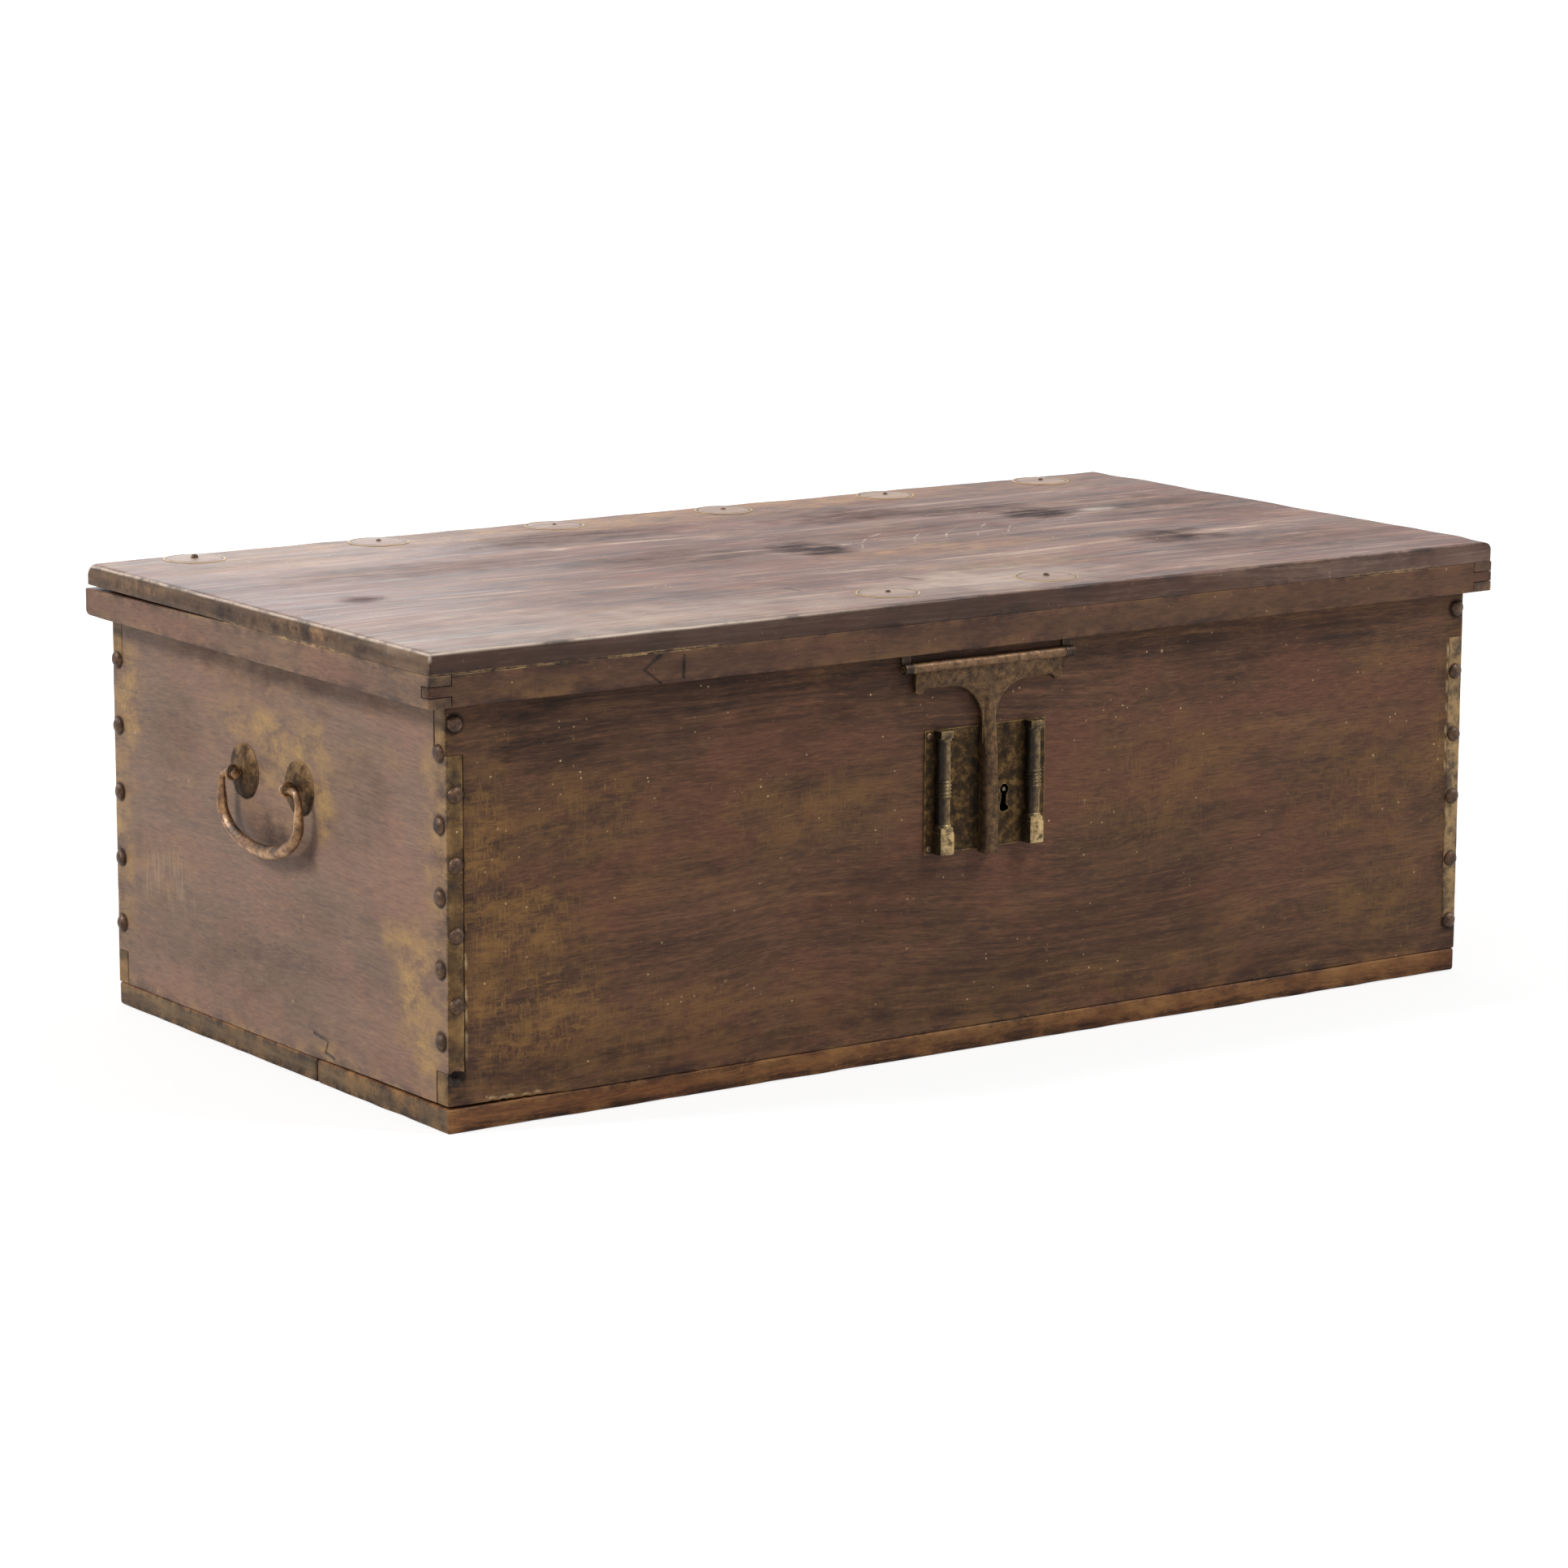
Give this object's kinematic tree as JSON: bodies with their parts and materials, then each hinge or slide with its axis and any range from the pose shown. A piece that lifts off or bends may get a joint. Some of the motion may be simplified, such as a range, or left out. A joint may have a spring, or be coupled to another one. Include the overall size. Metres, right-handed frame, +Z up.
{
  "type": "coffer chest",
  "caption": "Long low hardwood coffer chest with an overlapping hinged lid, domed corner nails, hasp lock with a colonnette plate and a drop bail handle on each end.",
  "frame": {"origin": "on the floor, under the middle of the case's footprint", "axes": "+X along the front to the right as seen from the front, +Y from front to back, +Z up"},
  "size_m": [1.198, 0.6248, 0.4295],
  "materials": {
    "case_wood": "worn waxed dark hardwood, reddish brown",
    "base_wood": "worn orange-brown hardwood",
    "lid_wood": "worn waxed dark hardwood, greyish brown",
    "patch_wood": "paler wooden patches",
    "nail_iron": "rusty brown iron",
    "hinge_iron": "dark brown iron",
    "lock_brass": "dull brown patina, worn bright on raised edges",
    "lock_iron": "dark iron",
    "handle_iron": "rubbed brown wrought iron"
  },
  "bodies": {
    "case": {"front_board": "case_wood", "back_board": "case_wood", "left_end_board": "case_wood", "right_end_board": "case_wood", "bottom_board_front": "base_wood", "bottom_board_rear": "base_wood", "front_corner_nails": "nail_iron", "back_corner_nails": "nail_iron", "left_end_nails": "nail_iron", "right_end_nails": "nail_iron", "bottom_nails": "nail_iron", "hinge_leaf_nails": "nail_iron", "lock_plate_nails": "nail_iron", "hinge_1_case_leaf": "hinge_iron", "hinge_1_pin": "hinge_iron", "hinge_2_case_leaf": "hinge_iron", "hinge_2_pin": "hinge_iron", "hinge_3_case_leaf": "hinge_iron", "hinge_3_pin": "hinge_iron", "lock_plate": "lock_brass", "lock_column_left": "lock_brass", "lock_column_right": "lock_brass", "lock_case": "lock_iron", "bolt_guides": "lock_iron", "bolt_spring": "lock_iron", "key_post": "lock_iron", "left_front_eye": "handle_iron", "left_front_rose": "handle_iron", "left_rear_eye": "handle_iron", "left_rear_rose": "handle_iron", "right_front_eye": "handle_iron", "right_front_rose": "handle_iron", "right_rear_eye": "handle_iron", "right_rear_rose": "handle_iron"},
    "lid": {"lid_board": "lid_wood", "lid_front_rail": "lid_wood", "lid_left_rail": "lid_wood", "lid_right_rail": "lid_wood", "hinge_1_patches": "patch_wood", "hinge_2_patches": "patch_wood", "hinge_3_patches": "patch_wood", "hasp_patches": "patch_wood", "lid_rail_nails": "nail_iron", "lid_hinge_nails": "nail_iron", "hinge_1_lid_leaf": "hinge_iron", "hinge_2_lid_leaf": "hinge_iron", "hinge_3_lid_leaf": "hinge_iron", "hasp_lid_leaf": "lock_brass", "hasp_pin": "lock_brass"},
    "hasp": {"hasp": "lock_brass", "hasp_staple": "lock_iron"},
    "lock_bolt": {"lock_bolt": "lock_iron"},
    "left_bail": {"left_bail": "handle_iron"},
    "right_bail": {"right_bail": "handle_iron"}
  },
  "joints": [
    {"name": "lid_hinge", "type": "hinge", "parent": "case", "child": "lid", "pos_m": [0, 0.3055, 0.3985], "axis": [-1, 0, 0], "range_deg": [0, 105]},
    {"name": "hasp_hinge", "type": "hinge", "parent": "lid", "child": "hasp", "pos_m": [-0.003, -0.3055, 0.362], "axis": [-1, 0, 0], "range_deg": [0, 140]},
    {"name": "bolt_slide", "type": "slide", "parent": "case", "child": "lock_bolt", "axis": [-1, 0, 0], "range_m": [0, 0.011]},
    {"name": "left_bail_swing", "type": "hinge", "parent": "case", "child": "left_bail", "pos_m": [-0.5878, 0, 0.264], "axis": [0, 1, 0], "range_deg": [-5, 185]},
    {"name": "right_bail_swing", "type": "hinge", "parent": "case", "child": "right_bail", "pos_m": [0.5878, 0, 0.264], "axis": [0, -1, 0], "range_deg": [-5, 185]}
  ]
}
